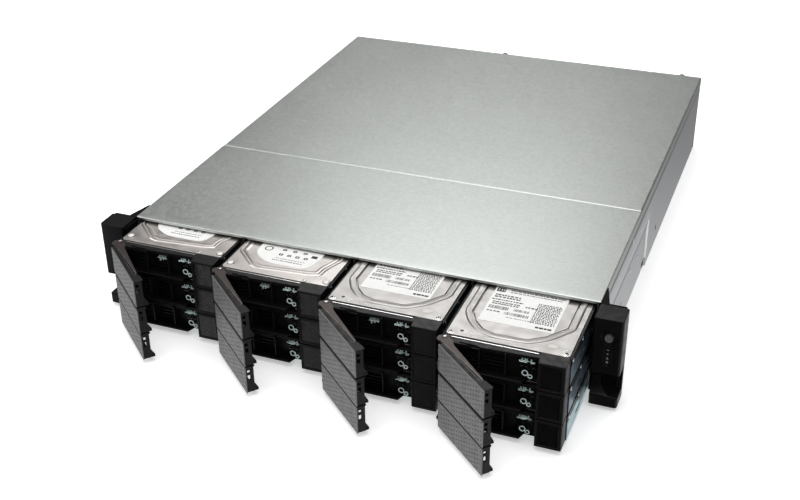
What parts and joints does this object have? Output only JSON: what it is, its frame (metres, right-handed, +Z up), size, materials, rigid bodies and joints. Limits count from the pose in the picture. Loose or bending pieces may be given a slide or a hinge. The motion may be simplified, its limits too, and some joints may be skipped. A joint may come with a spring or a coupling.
{
  "type": "rack network storage unit",
  "caption": "Rack-mount network storage unit with hot-swap drive trays on slides, swing-out handles, rack ears, two-piece cover and plug-in power supplies",
  "frame": {"origin": "centre of the chassis's flat base, on the surface it stands on", "axes": "+X to the right seen from the front, +Y from the front to the rear, +Z up"},
  "size_m": [0.4826, 0.693, 0.088],
  "materials": {
    "zinc_steel": "galvanised, satin",
    "cover_steel": "galvanised with fine spangle, satin",
    "bright_steel": "bright nickel",
    "black_steel": "satin black",
    "ear_plastic": "fine-textured matte",
    "button_plastic": "satin",
    "window_plastic": "gloss smoke",
    "cage_steel": "zinc plated",
    "circuit_board": "solder mask",
    "fan_plastic": "matte",
    "heatsink_aluminium": "extruded",
    "port_steel": "tinned",
    "supply_steel": "zinc plated",
    "tray_plastic": "semi-gloss black",
    "handle_plastic": "fine-textured dark grey",
    "drive_casting": "satin cast and pressed"
  },
  "bodies": {
    "chassis": {"chassis_base": "zinc_steel", "front_cover": "cover_steel", "rear_lid": "cover_steel", "rear_panel": "zinc_steel", "lid_thumbscrews": "bright_steel", "side_studs": "bright_steel", "ear_brackets": "black_steel", "left_ear_cover": "ear_plastic", "right_ear_cover": "ear_plastic", "led_window": "window_plastic", "drive_cage": "cage_steel", "backplane": "circuit_board", "fan_frames": "fan_plastic", "mainboard": "circuit_board", "heatsink": "heatsink_aluminium", "memory_modules": "circuit_board", "io_ports": "port_steel", "psu_cage": "zinc_steel"},
    "power_button": {"power_button": "button_plastic"},
    "fan_1": {"fan_rotor_1": "fan_plastic"},
    "fan_2": {"fan_rotor_2": "fan_plastic"},
    "fan_3": {"fan_rotor_3": "fan_plastic"},
    "supply_1": {"psu_1": "supply_steel"},
    "supply_2": {"psu_2": "supply_steel"},
    "carrier_c1_r1": {"tray_c1_r1": "tray_plastic", "drive_c1_r1": "drive_casting"},
    "lever_c1_r1": {"handle_c1_r1": "handle_plastic"},
    "carrier_c1_r2": {"tray_c1_r2": "tray_plastic", "drive_c1_r2": "drive_casting"},
    "lever_c1_r2": {"handle_c1_r2": "handle_plastic"},
    "carrier_c1_r3": {"tray_c1_r3": "tray_plastic", "drive_c1_r3": "drive_casting"},
    "lever_c1_r3": {"handle_c1_r3": "handle_plastic"},
    "carrier_c2_r1": {"tray_c2_r1": "tray_plastic", "drive_c2_r1": "drive_casting"},
    "lever_c2_r1": {"handle_c2_r1": "handle_plastic"},
    "carrier_c2_r2": {"tray_c2_r2": "tray_plastic", "drive_c2_r2": "drive_casting"},
    "lever_c2_r2": {"handle_c2_r2": "handle_plastic"},
    "carrier_c2_r3": {"tray_c2_r3": "tray_plastic", "drive_c2_r3": "drive_casting"},
    "lever_c2_r3": {"handle_c2_r3": "handle_plastic"},
    "carrier_c3_r1": {"tray_c3_r1": "tray_plastic", "drive_c3_r1": "drive_casting"},
    "lever_c3_r1": {"handle_c3_r1": "handle_plastic"},
    "carrier_c3_r2": {"tray_c3_r2": "tray_plastic", "drive_c3_r2": "drive_casting"},
    "lever_c3_r2": {"handle_c3_r2": "handle_plastic"},
    "carrier_c3_r3": {"tray_c3_r3": "tray_plastic", "drive_c3_r3": "drive_casting"},
    "lever_c3_r3": {"handle_c3_r3": "handle_plastic"},
    "carrier_c4_r1": {"tray_c4_r1": "tray_plastic", "drive_c4_r1": "drive_casting"},
    "lever_c4_r1": {"handle_c4_r1": "handle_plastic"},
    "carrier_c4_r2": {"tray_c4_r2": "tray_plastic", "drive_c4_r2": "drive_casting"},
    "lever_c4_r2": {"handle_c4_r2": "handle_plastic"},
    "carrier_c4_r3": {"tray_c4_r3": "tray_plastic", "drive_c4_r3": "drive_casting"},
    "lever_c4_r3": {"handle_c4_r3": "handle_plastic"}
  },
  "joints": [
    {"name": "power_button_press", "type": "slide", "parent": "chassis", "child": "power_button", "axis": [0, 1, 0], "range_m": [0, 0.0012], "stiffness_N_per_m": 500, "springref_m": -0.001},
    {"name": "fan_1_spin", "type": "hinge", "parent": "chassis", "child": "fan_1", "pos_m": [-0.13, -0.078, 0.043], "axis": [0, 1, 0], "continuous": true},
    {"name": "fan_2_spin", "type": "hinge", "parent": "chassis", "child": "fan_2", "pos_m": [0, -0.078, 0.043], "axis": [0, 1, 0], "continuous": true},
    {"name": "fan_3_spin", "type": "hinge", "parent": "chassis", "child": "fan_3", "pos_m": [0.13, -0.078, 0.043], "axis": [0, 1, 0], "continuous": true},
    {"name": "supply_1_slide", "type": "slide", "parent": "chassis", "child": "supply_1", "axis": [0, 1, 0], "range_m": [0, 0.2]},
    {"name": "supply_2_slide", "type": "slide", "parent": "chassis", "child": "supply_2", "axis": [0, 1, 0], "range_m": [0, 0.2]},
    {"name": "tray_c1_r1_slide", "type": "slide", "parent": "chassis", "child": "carrier_c1_r1", "axis": [0, -1, 0], "range_m": [-0.027, 0.108]},
    {"name": "tray_c1_r2_slide", "type": "slide", "parent": "chassis", "child": "carrier_c1_r2", "axis": [0, -1, 0], "range_m": [-0.027, 0.108]},
    {"name": "tray_c1_r3_slide", "type": "slide", "parent": "chassis", "child": "carrier_c1_r3", "axis": [0, -1, 0], "range_m": [-0.027, 0.108]},
    {"name": "tray_c2_r1_slide", "type": "slide", "parent": "chassis", "child": "carrier_c2_r1", "axis": [0, -1, 0], "range_m": [-0.0395, 0.0955]},
    {"name": "tray_c2_r2_slide", "type": "slide", "parent": "chassis", "child": "carrier_c2_r2", "axis": [0, -1, 0], "range_m": [-0.0395, 0.0955]},
    {"name": "tray_c2_r3_slide", "type": "slide", "parent": "chassis", "child": "carrier_c2_r3", "axis": [0, -1, 0], "range_m": [-0.0395, 0.0955]},
    {"name": "tray_c3_r1_slide", "type": "slide", "parent": "chassis", "child": "carrier_c3_r1", "axis": [0, -1, 0], "range_m": [-0.0575, 0.0775]},
    {"name": "tray_c3_r2_slide", "type": "slide", "parent": "chassis", "child": "carrier_c3_r2", "axis": [0, -1, 0], "range_m": [-0.0575, 0.0775]},
    {"name": "tray_c3_r3_slide", "type": "slide", "parent": "chassis", "child": "carrier_c3_r3", "axis": [0, -1, 0], "range_m": [-0.0575, 0.0775]},
    {"name": "tray_c4_r1_slide", "type": "slide", "parent": "chassis", "child": "carrier_c4_r1", "axis": [0, -1, 0], "range_m": [-0.072, 0.063]},
    {"name": "tray_c4_r2_slide", "type": "slide", "parent": "chassis", "child": "carrier_c4_r2", "axis": [0, -1, 0], "range_m": [-0.072, 0.063]},
    {"name": "tray_c4_r3_slide", "type": "slide", "parent": "chassis", "child": "carrier_c4_r3", "axis": [0, -1, 0], "range_m": [-0.072, 0.063]},
    {"name": "handle_c1_r1_swing", "type": "hinge", "parent": "carrier_c1_r1", "child": "lever_c1_r1", "pos_m": [-0.2118, -0.3057, 0.0712], "axis": [0, 0, -1], "range_deg": [-42, 6]},
    {"name": "handle_c1_r2_swing", "type": "hinge", "parent": "carrier_c1_r2", "child": "lever_c1_r2", "pos_m": [-0.2118, -0.3057, 0.0442], "axis": [0, 0, -1], "range_deg": [-42, 6]},
    {"name": "handle_c1_r3_swing", "type": "hinge", "parent": "carrier_c1_r3", "child": "lever_c1_r3", "pos_m": [-0.2118, -0.3057, 0.0172], "axis": [0, 0, -1], "range_deg": [-42, 6]},
    {"name": "handle_c2_r1_swing", "type": "hinge", "parent": "carrier_c2_r1", "child": "lever_c2_r1", "pos_m": [-0.103, -0.3182, 0.0712], "axis": [0, 0, -1], "range_deg": [-42, 6]},
    {"name": "handle_c2_r2_swing", "type": "hinge", "parent": "carrier_c2_r2", "child": "lever_c2_r2", "pos_m": [-0.103, -0.3182, 0.0442], "axis": [0, 0, -1], "range_deg": [-42, 6]},
    {"name": "handle_c2_r3_swing", "type": "hinge", "parent": "carrier_c2_r3", "child": "lever_c2_r3", "pos_m": [-0.103, -0.3182, 0.0172], "axis": [0, 0, -1], "range_deg": [-42, 6]},
    {"name": "handle_c3_r1_swing", "type": "hinge", "parent": "carrier_c3_r1", "child": "lever_c3_r1", "pos_m": [0.0058, -0.3362, 0.0712], "axis": [0, 0, -1], "range_deg": [-42, 6]},
    {"name": "handle_c3_r2_swing", "type": "hinge", "parent": "carrier_c3_r2", "child": "lever_c3_r2", "pos_m": [0.0058, -0.3362, 0.0442], "axis": [0, 0, -1], "range_deg": [-42, 6]},
    {"name": "handle_c3_r3_swing", "type": "hinge", "parent": "carrier_c3_r3", "child": "lever_c3_r3", "pos_m": [0.0058, -0.3362, 0.0172], "axis": [0, 0, -1], "range_deg": [-42, 6]},
    {"name": "handle_c4_r1_swing", "type": "hinge", "parent": "carrier_c4_r1", "child": "lever_c4_r1", "pos_m": [0.1146, -0.3507, 0.0712], "axis": [0, 0, -1], "range_deg": [-42, 6]},
    {"name": "handle_c4_r2_swing", "type": "hinge", "parent": "carrier_c4_r2", "child": "lever_c4_r2", "pos_m": [0.1146, -0.3507, 0.0442], "axis": [0, 0, -1], "range_deg": [-42, 6]},
    {"name": "handle_c4_r3_swing", "type": "hinge", "parent": "carrier_c4_r3", "child": "lever_c4_r3", "pos_m": [0.1146, -0.3507, 0.0172], "axis": [0, 0, -1], "range_deg": [-42, 6]}
  ],
  "couplings": [
    {"joint": "fan_2_spin", "follows": "fan_1_spin", "ratio": 1},
    {"joint": "fan_3_spin", "follows": "fan_1_spin", "ratio": 1}
  ]
}
